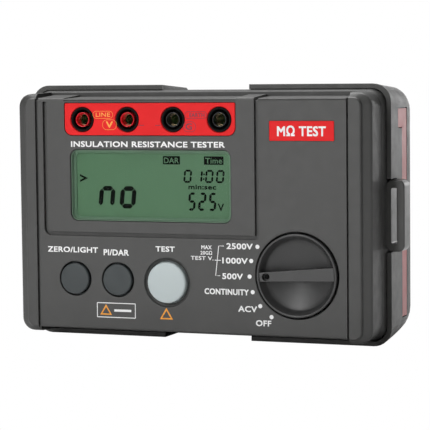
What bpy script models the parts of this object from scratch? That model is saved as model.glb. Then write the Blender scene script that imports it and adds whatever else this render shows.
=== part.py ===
"""Insulation resistance tester: a hand-held case with a stowed front cover, as separate pieces.

Lengths are in millimetres in this file and become metres when a mesh is made. X runs to the
right, Z runs up, and "depth" is measured backwards (+Y) from the front panel's face.
The origin is the middle of the underside of the whole object's box.
"""

import math

import bmesh
import bpy

MM = 0.001

# Overall size and the panel's place in the frame
HEIGHT = 100.0
DEPTH = 71.0
COVER_HALF_WIDTH = 75.0
MID_Z = HEIGHT / 2
TEST_PROUD = 1.2
PANEL_Y = TEST_PROUD - DEPTH / 2
BACK_DEPTH = DEPTH - TEST_PROUD

# Fits
GAP = 0.3
WALL = 2.5

# Case halves: they meet at SPLIT, and the cover's rim stands at RIM.
# Each section is (depth, half width, half height, corner radius) about the middle height.
SPLIT = 15.0
RIM = 19.6
CASE_BACK = 52.5
FACE_HALF_HEIGHT = 44.7
FRONT_OUTSIDE = (
    (0.0, 68.6, FACE_HALF_HEIGHT, 3.0),
    (0.8, 69.4, 45.1, 3.6),
    (1.0, 70.4, 45.5, 4.4),
    (2.4, 72.4, 46.6, 5.8),
    (SPLIT, 72.6, 47.3, 7.1),
)
FRONT_INSIDE = (
    (WALL, 66.6, 42.0, 4.0),
    (SPLIT + 1.0, 69.8, 43.8, 5.0),
)
REAR_OUTSIDE = (
    (SPLIT + GAP, 72.6, 47.3, 7.1),
    (RIM - GAP, 72.7, 47.8, 7.2),
    (46.0, 72.3, 46.0, 8.0),
    (49.5, 71.4, 45.0, 8.0),
    (CASE_BACK, 69.0, 43.0, 6.5),
)
REAR_INSIDE = (
    (SPLIT - 1.0, 69.8, 44.8, 5.0),
    (RIM, 70.0, 45.2, 5.0),
    (46.0, 69.6, 43.4, 5.0),
    (CASE_BACK - WALL, 68.0, 42.2, 5.0),
)

# Panel layout
FACE_OUT = -1.0  # where tools that open the panel start, clear of its face
PANEL_LINE_X = 63.8
ZONE_LEFT = -60.5
ZONE_RIGHT = 28.0
ZONE_BOTTOM = 42.2
GROOVE_TOP = 93.3
PAD_LEVEL = 95.9
STRIP_LEVEL = 95.3
GROOVE_WIDTH = 0.6
GROOVE_DEPTH = 0.5

# Terminals: 4 mm safety sockets at the usual 19 mm pitch
SOCKET_PITCH = 19.05
SOCKET_FIRST_X = -44.0
SOCKET_Z = 86.9
SOCKET_NAMES = ("line", "volt", "guard", "earth")
PLATE_LEFT = -51.8
PLATE_RIGHT = 19.9
PLATE_BOTTOM = 80.5
PLATE_TOP = 93.6
PLATE_RADIUS = 3.0
PLATE_TOP_RADIUS = 0.5
PLATE_DEPTH = 1.2
PLUG_RADIUS = 2.0
SOCKET_BORE = 4.6
SOCKET_FRONT = 0.2
SOCKET_DEPTH = 8.5
SOCKET_FLOOR = 1.2
SHROUD_WALL = 0.4
TUBE_FRONT = 0.5
TUBE_GAP = 0.5
TUBE_WALL = 0.35
SLEEVE_FRONT = 3.5
SLEEVE_WALL = 0.35

# Display
LCD_LEFT = -49.4
LCD_RIGHT = 17.6
LCD_BOTTOM = 47.4
LCD_TOP = 75.3
LCD_RADIUS = 3.0
LENS_FRONT = 0.8
LENS_BACK = 2.2
GLASS_FRONT = 2.9
GLASS_BACK = 4.9
LIGHT_FRONT = 5.2
LIGHT_BACK = 7.4
LCD_FRAME_BACK = 10.6

# Plain red badge
BADGE_LEFT = 33.3
BADGE_RIGHT = 58.7
BADGE_LOW = 79.0
BADGE_HIGH = 86.4
BADGE_PROUD = 0.1
BADGE_RECESS = 0.6

# Push buttons
BUTTON_Z = 24.3
ZERO_X = -47.9
PI_X = -29.7
TEST_X = -8.3
BUTTON_RADIUS = 6.6
TEST_RADIUS = 7.7
TEST_RECESS_RADIUS = 9.1
TEST_RECESS_DEPTH = 0.9
BUTTON_PROUD = 0.9
BUTTON_CROWN = 0.7
TEST_CROWN = 1.0
FLANGE_LIP = 1.0
FLANGE_THICK = 0.8
STEM_RADIUS = 2.2
STEM_END = 6.9
LAMP_FROM_TEST = 5.4

# Range knob
KNOB_X = 43.8
KNOB_Z = 28.3
KNOB_RADIUS = 15.9
KNOB_CUP_RADIUS = 16.5
KNOB_CUP_DEPTH = 6.9
KNOB_CUP_WALL = 1.8
KNOB_CUP_BACK = 8.8
KNOB_PROUD = 0.8
KNOB_FLOOR = 4.7
KNOB_SHAFT_RADIUS = 3.6
POINTER_ANGLE = 182.4
POINTER_REACH = 12.6
POINTER_RADIUS = 1.5
SWITCH_FRONT = 9.1
ROTOR_RADIUS = 12.0
SWITCH_RING_INNER = 13.0
SWITCH_RING_OUTER = 14.6

# Circuit board and batteries (eight AA cells, four high and two long)
BOARD_DEPTH = 11.0
BOARD_THICK = 1.6
BOARD_HALF_WIDTH = 64.0
BOARD_HALF_HEIGHT = 40.0
BOARD_RADIUS = 12.0
CELL_LENGTH = 50.5
CELL_RADIUS = 7.1
CELL_BUTTON_RADIUS = 2.6
CELL_BUTTON_LENGTH = 1.2
CELL_PITCH = 15.0
CELL_INNER_X = 3.4
CELL_DEPTH = 40.6
CONTACT_X = 54.55
CONTACT_HALF_WIDTH = 6.0
CONTACT_HALF_HEIGHT = 29.0
CONTACT_THICK = 0.5
TRAY_FRONT = 31.6
TRAY_BACK = 49.2
TRAY_WALL = 1.5
TRAY_HALF_WIDTH = 57.4
TRAY_LOW = 18.2
TRAY_HIGH = 88.6
TRAY_POCKET_HIGH = 81.8
DOOR_HALF_WIDTH = 55.7
DOOR_LOW = 17.3
DOOR_HIGH = 88.3
DOOR_RADIUS = 2.7
DOOR_SCREW_Z = 85.0
DOOR_SCREW_FRONT = 37.0

# Transformer (a frame-shaped core round its winding) and buzzer
CORE_LEFT = -46.0
CORE_RIGHT = -22.0
CORE_LOW = 60.0
CORE_HIGH = 84.0
CORE_LIMB = 3.0
CORE_YOKE = 4.0
COIL_THICK = 16.0
BUZZER_X = 48.0
BUZZER_Z = 72.0
BUZZER_RADIUS = 6.0

# Case screws
SCREW_X = 64.5
SCREW_RISE = 39.0
SCREW_RADIUS = 1.2
SCREW_HEAD_RADIUS = 2.4
SCREW_HEAD_HEIGHT = 1.8
SCREW_GRIP = 5.5
SCREW_THREAD = 6.0
BOSS_RADIUS = 3.8
PILOT_RADIUS = 1.5
CLEARANCE_RADIUS = 1.7
HEAD_HOLE_RADIUS = 2.8

# Stowed cover. Each section is (depth, half width, lower edge, upper edge, corner radius).
COVER_OUTSIDE = (
    (RIM, COVER_HALF_WIDTH, 0.0, HEIGHT, 7.2),
    (46.4, 74.9, 0.0, 98.4, 9.2),
    (50.0, 73.7, 0.8, 97.4, 9.4),
    (56.5, 71.6, 2.6, 95.6, 9.4),
    (66.5, 68.2, 5.6, 92.8, 9.0),
    (69.0, 66.4, 7.2, 91.2, 8.0),
    (BACK_DEPTH, 64.4, 9.2, 89.2, 7.0),
)
COVER_INSIDE = (
    (RIM - 1.0, 73.1, 1.9, 98.1, 6.0),
    (46.4, 73.0, 1.9, 96.5, 7.6),
    (53.0, 70.9, 3.5, 94.7, 7.8),
    (66.0, 66.3, 7.7, 90.5, 7.4),
    (BACK_DEPTH - 2.2, 64.5, 9.3, 88.9, 6.4),
)
FINGER_HALF_WIDTH = 18.2
FINGER_BACK = 49.0
FINGER_REACH = 10.0

# Red inlay on each side of the cover: a long strip with a wider block at its top
STRIPE_FRONT = 34.6
STRIPE_BACK = 41.6
STRIPE_LOW = 9.4
STRIPE_HIGH = 90.6
STRIPE_BLOCK_FRONT = 29.0
STRIPE_BLOCK_LOW = 83.0
STRIPE_GROOVE = 0.8
STRIPE_SEAT = 0.5
STRIPE_SHY = 0.12

# Strap lugs
LUG_ROOT = 73.0
LUG_REACH = 80.1
LUG_HALF_HEIGHT = 13.6
LUG_RADIUS = 2.4
LUG_FRONT = 19.6
LUG_BACK = 27.4
LUG_ROOM = 0.4
SLOT_INNER = 74.9
SLOT_OUTER = 77.3
SLOT_HALF_HEIGHT = 10.6

CORNER_STEPS = 4
ROUND_STEPS = 24
SMALL_STEPS = 16


def clear_scene():
    for item in list(bpy.data.objects):
        bpy.data.objects.remove(item, do_unlink=True)


def material(name, colour, roughness, metallic=0.0):
    found = bpy.data.materials.get(name)
    if found:
        return found
    made = bpy.data.materials.new(name)
    made.use_nodes = True
    shader = made.node_tree.nodes["Principled BSDF"]
    shader.inputs["Base Color"].default_value = (*colour, 1.0)
    shader.inputs["Roughness"].default_value = roughness
    shader.inputs["Metallic"].default_value = metallic
    return made


def case_plastic(name):
    return material(name, (0.13, 0.13, 0.125), 0.55)


def red_plastic(name):
    return material(name, (0.78, 0.05, 0.05), 0.4)


def black_plastic(name):
    return material(name, (0.02, 0.02, 0.02), 0.45)


def steel(name):
    return material(name, (0.6, 0.6, 0.62), 0.3, 1.0)


def add(name, mesh_builder, origin, finish):
    """Make one named object from a bmesh in millimetres about its origin (x, depth, z)."""
    bmesh.ops.remove_doubles(mesh_builder, verts=mesh_builder.verts, dist=1e-4)
    bmesh.ops.recalc_face_normals(mesh_builder, faces=mesh_builder.faces)
    bmesh.ops.scale(mesh_builder, vec=(MM, MM, MM), verts=mesh_builder.verts)
    mesh = bpy.data.meshes.new(name)
    mesh_builder.to_mesh(mesh)
    mesh_builder.free()
    mesh.shade_smooth()
    mesh.set_sharp_from_angle(angle=math.radians(30))
    made = bpy.data.objects.new(name, mesh)
    made.location = (origin[0] * MM, (origin[1] + PANEL_Y) * MM, origin[2] * MM)
    bpy.context.scene.collection.objects.link(made)
    if finish:
        made.data.materials.append(finish)
    return made


def apply_boolean(target, other, operation):
    """Combine target with a hidden tool object."""
    other.hide_render = True
    other.display_type = "WIRE"
    step = target.modifiers.new(other.name, "BOOLEAN")
    step.operation = operation
    step.solver = "EXACT"
    step.object = other


def cut(target, *tools):
    for tool in tools:
        apply_boolean(target, tool, "DIFFERENCE")


def fuse(target, *tools):
    for tool in tools:
        apply_boolean(target, tool, "UNION")


def rounded_rect(left, right, low, high, radius, top_radius=None):
    """Points (x, z) round a rectangle with rounded corners. The two top corners may differ."""
    top = radius if top_radius is None else top_radius
    corners = (
        (right - top, high - top, top, 0),
        (left + top, high - top, top, 90),
        (left + radius, low + radius, radius, 180),
        (right - radius, low + radius, radius, 270),
    )
    points = []
    for x, z, size, start in corners:
        for step in range(CORNER_STEPS + 1):
            angle = math.radians(start + 90 * step / CORNER_STEPS)
            points.append((x + size * math.cos(angle), z + size * math.sin(angle)))
    return points


def circle(radius, steps=ROUND_STEPS, x=0.0, z=0.0):
    turns = (2 * math.pi * step / steps for step in range(steps))
    return [(x + radius * math.cos(turn), z + radius * math.sin(turn)) for turn in turns]


def loft(rings):
    """A closed solid through rings of equal length: (depth, [(x, z), ...])."""
    shape = bmesh.new()
    loops = [[shape.verts.new((x, depth, z)) for x, z in ring] for depth, ring in rings]
    for near, far in zip(loops, loops[1:]):
        count = len(near)
        for index in range(count):
            after = (index + 1) % count
            shape.faces.new((near[index], near[after], far[after], far[index]))
    shape.faces.new(loops[0])
    shape.faces.new(loops[-1])
    return shape


def prism(outline, front, back):
    return loft([(front, outline), (back, outline)])


def turned(profile, steps=ROUND_STEPS):
    """A solid of revolution about the depth axis, capped at both ends of its (radius, depth) profile."""
    return loft([(depth, circle(radius, steps)) for radius, depth in profile])


def turned_ring(profile, steps=ROUND_STEPS):
    """A ring-shaped solid: a closed (radius, depth) profile turned about the depth axis."""
    shape = bmesh.new()
    rings = [[shape.verts.new((x, depth, z)) for x, z in circle(radius, steps)] for radius, depth in profile]
    for near, far in zip(rings, rings[1:] + rings[:1]):
        for index in range(steps):
            after = (index + 1) % steps
            shape.faces.new((near[index], near[after], far[after], far[index]))
    return shape


def rod(radius, front, back, steps=ROUND_STEPS):
    return prism(circle(radius, steps), front, back)


def block(low, high):
    outline = [(low[0], low[2]), (high[0], low[2]), (high[0], high[2]), (low[0], high[2])]
    return prism(outline, low[1], high[1])


def cutter(name, shape, origin=(0.0, 0.0, 0.0)):
    return add("cut_" + name, shape, origin, None)


def case_section(depth, half_width, half_height, radius):
    sides = (-half_width, half_width, MID_Z - half_height, MID_Z + half_height)
    return depth, rounded_rect(*sides, radius)


def socket_xs():
    return [SOCKET_FIRST_X + SOCKET_PITCH * index for index in range(len(SOCKET_NAMES))]


def screw_places():
    return [(side * SCREW_X, MID_Z + rise * SCREW_RISE) for side in (-1, 1) for rise in (-1, 1)]


# Case

def panel_grooves():
    """The thin lines that divide the front panel."""
    half = GROOVE_WIDTH / 2
    low = MID_Z - FACE_HALF_HEIGHT + 2.0
    tools = []
    for name, x, z_low in (
        ("line_left", -PANEL_LINE_X, low),
        ("line_right", PANEL_LINE_X, low),
        ("zone_left", ZONE_LEFT, ZONE_BOTTOM),
        ("zone_right", ZONE_RIGHT, ZONE_BOTTOM),
    ):
        tools.append(cutter(name, block((x - half, FACE_OUT, z_low), (x + half, GROOVE_DEPTH, GROOVE_TOP))))
    under = block(
        (ZONE_LEFT - half, FACE_OUT, ZONE_BOTTOM - half),
        (ZONE_RIGHT + half, GROOVE_DEPTH, ZONE_BOTTOM + half),
    )
    tools.append(cutter("zone_under", under))
    return tools


def top_levels():
    """The case's top edge is lower between the side pillars, and lowest over the plate and at the right."""
    tools = []
    for name, left, right, level in (
        ("pads", -PANEL_LINE_X, PANEL_LINE_X, PAD_LEVEL),
        ("plate_strip", PLATE_LEFT, PLATE_RIGHT, STRIP_LEVEL),
        ("right_strip", ZONE_RIGHT, PANEL_LINE_X, STRIP_LEVEL),
    ):
        tools.append(cutter(name, block((left, FACE_OUT, level), (right, SPLIT + 1.0, HEIGHT))))
    return tools


def front_case():
    outer = loft([case_section(*row) for row in FRONT_OUTSIDE])
    case = add("front_case", outer, (0, 0, 0), case_plastic("front_case"))
    cut(case, cutter("front_cavity", loft([case_section(*row) for row in FRONT_INSIDE])), *top_levels())
    cup = rod(KNOB_CUP_RADIUS + KNOB_CUP_WALL, WALL - 1.0, KNOB_CUP_BACK)
    fuse(case, cutter("knob_cup", cup, (KNOB_X, 0, KNOB_Z)))
    for index, (x, z) in enumerate(screw_places()):
        boss = rod(BOSS_RADIUS, WALL - 1.0, SPLIT - GAP, SMALL_STEPS)
        fuse(case, cutter(f"front_boss_{index}", boss, (x, 0, z)))
    for index, (x, z) in enumerate(screw_places()):
        pilot = rod(PILOT_RADIUS, SPLIT - SCREW_THREAD - 0.5, SPLIT + 0.5, SMALL_STEPS)
        cut(case, cutter(f"front_pilot_{index}", pilot, (x, 0, z)))
    shaft = KNOB_SHAFT_RADIUS + GAP
    well = turned([
        (KNOB_CUP_RADIUS, FACE_OUT), (KNOB_CUP_RADIUS, KNOB_CUP_DEPTH),
        (shaft, KNOB_CUP_DEPTH), (shaft, KNOB_CUP_BACK + 1.0),
    ])
    cut(case, cutter("knob_well", well, (KNOB_X, 0, KNOB_Z)))
    cut(case, cutter("plate_recess", prism(plate_outline(0.0), FACE_OUT, PLATE_DEPTH + GAP)))
    for name, x in zip(SOCKET_NAMES, socket_xs()):
        cut(case, cutter("bore_" + name, rod(SOCKET_BORE, PLATE_DEPTH, WALL + 1.0), (x, 0, SOCKET_Z)))
    window = rounded_rect(LCD_LEFT, LCD_RIGHT, LCD_BOTTOM, LCD_TOP, LCD_RADIUS)
    cut(case, cutter("window", prism(window, FACE_OUT, WALL + 1.0)))
    for name, x in (("zero", ZERO_X), ("pi", PI_X)):
        hole = rod(BUTTON_RADIUS + GAP, FACE_OUT, WALL + 1.0)
        cut(case, cutter("hole_" + name, hole, (x, 0, BUTTON_Z)))
    stem = TEST_RADIUS + GAP
    ring = turned([
        (TEST_RECESS_RADIUS, FACE_OUT), (TEST_RECESS_RADIUS, TEST_RECESS_DEPTH),
        (stem, TEST_RECESS_DEPTH), (stem, WALL + 1.0),
    ])
    cut(case, cutter("hole_test", ring, (TEST_X, 0, BUTTON_Z)))
    badge = block((BADGE_LEFT - GAP, FACE_OUT, BADGE_LOW - GAP), (BADGE_RIGHT + GAP, BADGE_RECESS, BADGE_HIGH + GAP))
    cut(case, cutter("badge_recess", badge))
    cut(case, *panel_grooves())


def name_badge():
    plate = block((BADGE_LEFT, -BADGE_PROUD, BADGE_LOW), (BADGE_RIGHT, BADGE_RECESS - GAP, BADGE_HIGH))
    add("name_badge", plate, (0, 0, 0), red_plastic("name_badge"))


def rear_case():
    outer = loft([case_section(*row) for row in REAR_OUTSIDE])
    case = add("rear_case", outer, (0, 0, 0), case_plastic("rear_case"))
    cut(case, cutter("rear_cavity", loft([case_section(*row) for row in REAR_INSIDE])))
    seat = SPLIT + SCREW_GRIP
    for index, (x, z) in enumerate(screw_places()):
        boss = rod(BOSS_RADIUS, SPLIT + 0.8, CASE_BACK - 1.5, SMALL_STEPS)
        fuse(case, cutter(f"rear_boss_{index}", boss, (x, 0, z)))
    for index, (x, z) in enumerate(screw_places()):
        hole = turned([
            (CLEARANCE_RADIUS, SPLIT), (CLEARANCE_RADIUS, seat - GAP),
            (HEAD_HOLE_RADIUS, seat - GAP), (HEAD_HOLE_RADIUS, CASE_BACK + 1.0),
        ], SMALL_STEPS)
        cut(case, cutter(f"rear_hole_{index}", hole, (x, 0, z)))
    sides = (-DOOR_HALF_WIDTH - GAP, DOOR_HALF_WIDTH + GAP, DOOR_LOW - GAP, DOOR_HIGH + GAP)
    opening = prism(rounded_rect(*sides, DOOR_RADIUS + GAP), TRAY_BACK - 1.2, CASE_BACK + 1.0)
    cut(case, cutter("door_opening", opening))
    for index, (x, z) in enumerate(screw_places()):
        screw = turned([
            (SCREW_RADIUS, SPLIT - SCREW_THREAD), (SCREW_RADIUS, seat),
            (SCREW_HEAD_RADIUS, seat), (SCREW_HEAD_RADIUS, seat + SCREW_HEAD_HEIGHT),
        ], SMALL_STEPS)
        add(f"case_screw_{index + 1}", screw, (x, 0, z), steel("case_screw"))


# Terminals

def plate_outline(inset):
    """The terminal plate's outline, or its recess in the panel: square at the top, round below."""
    sides = (PLATE_LEFT + inset, PLATE_RIGHT - inset, PLATE_BOTTOM + inset, PLATE_TOP - inset)
    return rounded_rect(*sides, PLATE_RADIUS - inset, PLATE_TOP_RADIUS - inset / 2)


def terminal_plate():
    shape = prism(plate_outline(GAP), 0.0, PLATE_DEPTH)
    plate = add("terminal_plate", shape, (0, 0, 0), red_plastic("terminal_plate"))
    for name, x in zip(SOCKET_NAMES, socket_xs()):
        cut(plate, cutter("plate_bore_" + name, rod(SOCKET_BORE, FACE_OUT, WALL), (x, 0, SOCKET_Z)))


def sockets():
    """Shrouded 4 mm sockets: a cup with a tube in its middle, and a metal sleeve in the tube."""
    outer = SOCKET_BORE - GAP
    shroud = outer - SHROUD_WALL
    bore = PLUG_RADIUS + TUBE_GAP
    tube = bore + TUBE_WALL
    floor = SOCKET_DEPTH - SOCKET_FLOOR
    sleeve_back = BOARD_DEPTH - GAP
    for name, x in zip(SOCKET_NAMES, socket_xs()):
        cup = turned_ring([
            (outer, SOCKET_FRONT), (outer, SOCKET_DEPTH), (bore, SOCKET_DEPTH), (bore, TUBE_FRONT),
            (tube, TUBE_FRONT), (tube, floor), (shroud, floor), (shroud, SOCKET_FRONT),
        ])
        finish = red_plastic("socket_red") if name in ("line", "volt") else black_plastic("socket_black")
        add("socket_" + name, cup, (x, 0, SOCKET_Z), finish)
        sleeve = turned_ring([
            (PLUG_RADIUS, SLEEVE_FRONT), (PLUG_RADIUS, sleeve_back),
            (PLUG_RADIUS + SLEEVE_WALL, sleeve_back), (PLUG_RADIUS + SLEEVE_WALL, SLEEVE_FRONT),
        ])
        add("contact_" + name, sleeve, (x, 0, SOCKET_Z), steel("contact_sleeve"))


# Display

def lcd_block(side, below, front, back):
    """A block round the display window, wider by side at each side and taller by below each way."""
    return block((LCD_LEFT - side, front, LCD_BOTTOM - below), (LCD_RIGHT + side, back, LCD_TOP + below))


def display():
    lens = rounded_rect(LCD_LEFT + GAP, LCD_RIGHT - GAP, LCD_BOTTOM + GAP, LCD_TOP - GAP, LCD_RADIUS - GAP)
    add("lcd_lens", prism(lens, LENS_FRONT, LENS_BACK), (0, 0, 0), material("lcd_lens", (0.8, 0.9, 0.85), 0.1))
    glass = lcd_block(1.5, 1.0, GLASS_FRONT, GLASS_BACK)
    add("lcd_glass", glass, (0, 0, 0), material("lcd_glass", (0.1, 0.19, 0.12), 0.3))
    light = lcd_block(1.0, 0.5, LIGHT_FRONT, LIGHT_BACK)
    add("backlight_panel", light, (0, 0, 0), material("backlight_panel", (0.9, 0.9, 0.9), 0.5))
    frame = add("lcd_frame", lcd_block(3.4, 3.2, GLASS_FRONT, LCD_FRAME_BACK), (0, 0, 0), black_plastic("lcd_frame"))
    pocket = lcd_block(1.9, 1.4, GLASS_FRONT - 1.0, LCD_FRAME_BACK + 1.0)
    cut(frame, cutter("lcd_pocket", pocket))


# Buttons

def push_button(radius, proud, crown):
    """A round cap with a flange behind the panel and a stem towards its switch."""
    flange = radius + FLANGE_LIP
    front = WALL + GAP
    back = front + FLANGE_THICK
    return turned([
        (radius - crown, -proud), (radius, -proud + crown), (radius, front),
        (flange, front), (flange, back), (STEM_RADIUS, back), (STEM_RADIUS, STEM_END),
    ])


def buttons():
    for name, x in (("zero_button", ZERO_X), ("pi_button", PI_X)):
        cap = push_button(BUTTON_RADIUS, BUTTON_PROUD, BUTTON_CROWN)
        add(name, cap, (x, 0, BUTTON_Z), material("button_cap", (0.06, 0.075, 0.075), 0.5))
    cap = push_button(TEST_RADIUS, TEST_PROUD, TEST_CROWN)
    add("test_button", cap, (TEST_X, 0, BUTTON_Z), material("test_cap", (0.6, 0.64, 0.64), 0.35))
    behind = BOARD_DEPTH - GAP
    for name, x in (("zero", ZERO_X), ("pi", PI_X), ("test", TEST_X)):
        base = STEM_END + 2.5
        switch = turned([(1.7, base - 0.5), (1.7, base), (3.2, base), (3.2, behind)], SMALL_STEPS)
        add("key_switch_" + name, switch, (x, 0, BUTTON_Z), black_plastic("key_switch"))
    lamp = turned([(0.6, 6.6), (1.2, 7.0), (1.5, 7.8), (1.5, behind)], SMALL_STEPS)
    place = (TEST_X + LAMP_FROM_TEST, 0, BUTTON_Z)
    add("test_lamp", lamp, place, material("test_lamp", (0.9, 0.2, 0.1), 0.2))


# Range knob and its switch

def knob_bar():
    """The grip bar: narrow at its pointer end, as (x, z) about the knob's axis."""
    reach = KNOB_RADIUS - 0.9
    points = [(reach, 2.0), (-reach, 2.5), (-reach, -2.5), (reach, -2.0)]
    turn = math.radians(POINTER_ANGLE)
    return [(x * math.cos(turn) - z * math.sin(turn), x * math.sin(turn) + z * math.cos(turn)) for x, z in points]


def range_knob():
    lip = KNOB_RADIUS - 1.0
    front = -KNOB_PROUD
    shape = turned([
        (9.0, KNOB_FLOOR), (lip - 0.8, KNOB_FLOOR - 1.8), (lip, front + 0.3),
        (lip + 0.3, front), (KNOB_RADIUS - 0.2, front), (KNOB_RADIUS, front + 0.3),
        (KNOB_RADIUS, KNOB_CUP_DEPTH - GAP), (KNOB_SHAFT_RADIUS, KNOB_CUP_DEPTH - GAP),
        (KNOB_SHAFT_RADIUS, BOARD_DEPTH - 0.6),
    ], 32)
    knob = add("range_knob", shape, (KNOB_X, 0, KNOB_Z), case_plastic("range_knob"))
    fuse(knob, cutter("knob_bar", prism(knob_bar(), front + 0.1, KNOB_FLOOR + 0.6), (KNOB_X, 0, KNOB_Z)))
    turn = math.radians(POINTER_ANGLE)
    place = (KNOB_X + POINTER_REACH * math.cos(turn), 0, KNOB_Z + POINTER_REACH * math.sin(turn))
    cut(knob, cutter("knob_pointer", rod(POINTER_RADIUS, front - 1.0, front + 1.0, SMALL_STEPS), place))
    inner = KNOB_SHAFT_RADIUS + GAP
    back = BOARD_DEPTH - 0.5
    disc = turned_ring([(inner, SWITCH_FRONT), (ROTOR_RADIUS, SWITCH_FRONT), (ROTOR_RADIUS, back), (inner, back)])
    add("switch_rotor", disc, (KNOB_X, 0, KNOB_Z), black_plastic("switch_rotor"))
    back = BOARD_DEPTH - GAP
    rail = turned_ring([
        (SWITCH_RING_INNER, SWITCH_FRONT), (SWITCH_RING_OUTER, SWITCH_FRONT),
        (SWITCH_RING_OUTER, back), (SWITCH_RING_INNER, back),
    ])
    add("switch_ring", rail, (KNOB_X, 0, KNOB_Z), material("switch_ring", (0.75, 0.75, 0.7), 0.5))


# Electronics

def electronics():
    sides = (-BOARD_HALF_WIDTH, BOARD_HALF_WIDTH, MID_Z - BOARD_HALF_HEIGHT, MID_Z + BOARD_HALF_HEIGHT)
    board = prism(rounded_rect(*sides, BOARD_RADIUS), BOARD_DEPTH, BOARD_DEPTH + BOARD_THICK)
    add("main_board", board, (0, 0, 0), material("main_board", (0.02, 0.2, 0.07), 0.5))
    behind = BOARD_DEPTH + BOARD_THICK + GAP
    core_back = behind + COIL_THICK - 1.0
    core = add("transformer_core", block((CORE_LEFT, behind + 1.0, CORE_LOW), (CORE_RIGHT, core_back, CORE_HIGH)),
               (0, 0, 0), material("transformer_core", (0.05, 0.05, 0.055), 0.6))
    left, right = CORE_LEFT + CORE_LIMB, CORE_RIGHT - CORE_LIMB
    low, high = CORE_LOW + CORE_YOKE, CORE_HIGH - CORE_YOKE
    cut(core, cutter("core_window", block((left, behind - 1.0, low), (right, core_back + 1.0, high))))
    fit = 0.4
    coil = block((left + fit, behind, low + fit), (right - fit, behind + COIL_THICK, high - fit))
    add("transformer_coil", coil, (0, 0, 0), material("transformer_coil", (0.65, 0.5, 0.1), 0.4))
    buzzer = turned([(BUZZER_RADIUS, behind), (BUZZER_RADIUS, behind + 6.0), (BUZZER_RADIUS - 0.6, behind + 6.6)])
    add("buzzer", buzzer, (BUZZER_X, 0, BUZZER_Z), black_plastic("buzzer"))


# Batteries

def cell(side):
    """One AA cell lying along X, its button end pointing to the given side."""
    shape = turned([
        (CELL_BUTTON_RADIUS, 0.0), (CELL_BUTTON_RADIUS, CELL_BUTTON_LENGTH),
        (CELL_RADIUS - 0.3, CELL_BUTTON_LENGTH), (CELL_RADIUS, CELL_BUTTON_LENGTH + 0.4),
        (CELL_RADIUS, CELL_LENGTH - 0.4), (CELL_RADIUS - 0.5, CELL_LENGTH),
    ], 20)
    for vert in shape.verts:
        x, depth, z = vert.co
        along = CELL_LENGTH / 2 - depth
        vert.co = (side * along, x, z)
    return shape


def battery_cells():
    number = 0
    for row in range(4):
        for side in (-1, 1):
            number += 1
            x = side * (CELL_INNER_X + CELL_LENGTH / 2)
            z = MID_Z + CELL_PITCH * (row - 1.5)
            points_to = side if row % 2 else -side
            jacket = material("battery_jacket", (0.1, 0.1, 0.35), 0.4)
            add(f"battery_{number}", cell(points_to), (x, CELL_DEPTH, z), jacket)
    thick = CONTACT_THICK / 2
    for name, x in (("left", -CONTACT_X), ("middle", 0.0), ("right", CONTACT_X)):
        strip = block(
            (x - thick, CELL_DEPTH - CONTACT_HALF_WIDTH, MID_Z - CONTACT_HALF_HEIGHT),
            (x + thick, CELL_DEPTH + CONTACT_HALF_WIDTH, MID_Z + CONTACT_HALF_HEIGHT),
        )
        add("battery_contact_" + name, strip, (0, 0, 0), steel("battery_contact"))


def battery_tray():
    outside = block((-TRAY_HALF_WIDTH, TRAY_FRONT, TRAY_LOW), (TRAY_HALF_WIDTH, TRAY_BACK, TRAY_HIGH))
    tray = add("battery_tray", outside, (0, 0, 0), black_plastic("battery_tray"))
    pocket = block(
        (-TRAY_HALF_WIDTH + TRAY_WALL, TRAY_FRONT + TRAY_WALL, TRAY_LOW + TRAY_WALL),
        (TRAY_HALF_WIDTH - TRAY_WALL, TRAY_BACK + 1.0, TRAY_POCKET_HIGH),
    )
    cut(tray, cutter("tray_pocket", pocket))
    pilot = rod(PILOT_RADIUS, DOOR_SCREW_FRONT - 1.0, TRAY_BACK + 1.0, SMALL_STEPS)
    cut(tray, cutter("tray_pilot", pilot, (0, 0, DOOR_SCREW_Z)))


def battery_door():
    outline = rounded_rect(-DOOR_HALF_WIDTH, DOOR_HALF_WIDTH, DOOR_LOW, DOOR_HIGH, DOOR_RADIUS)
    back = CASE_BACK - 0.2
    door = add("battery_door", prism(outline, TRAY_BACK + GAP, back), (0, 0, 0), case_plastic("battery_door"))
    sink = TRAY_BACK + 1.6
    hole = turned([(1.8, TRAY_BACK), (1.8, sink), (3.2, sink), (3.2, CASE_BACK + 1.0)], SMALL_STEPS)
    cut(door, cutter("door_hole", hole, (0, 0, DOOR_SCREW_Z)))
    seat = sink + GAP
    screw = turned([
        (SCREW_RADIUS, DOOR_SCREW_FRONT), (SCREW_RADIUS, seat), (2.8, seat), (2.8, CASE_BACK - 0.3),
    ], SMALL_STEPS)
    add("battery_door_screw", screw, (0, 0, DOOR_SCREW_Z), steel("case_screw"))


# Stowed cover and strap lugs

def cover_section(depth, half_width, low, high, radius):
    return depth, rounded_rect(-half_width, half_width, low, high, radius)


def stripe(side, inset, faces):
    """A red inlay on a cover side, cut back by inset, between two x distances from the middle."""
    low, high, block_low = STRIPE_LOW + inset, STRIPE_HIGH - inset, STRIPE_BLOCK_LOW + inset
    front, back, block_front = STRIPE_FRONT + inset, STRIPE_BACK - inset, STRIPE_BLOCK_FRONT + inset
    outline = [
        (front, low), (back, low), (back, high),
        (block_front, high), (block_front, block_low), (front, block_low),
    ]
    shape = bmesh.new()
    near, far = ([shape.verts.new((side * x, depth, z)) for depth, z in outline] for x in faces)
    count = len(outline)
    for index in range(count):
        after = (index + 1) % count
        shape.faces.new((near[index], near[after], far[after], far[index]))
    shape.faces.new(near)
    shape.faces.new(far)
    return shape


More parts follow.
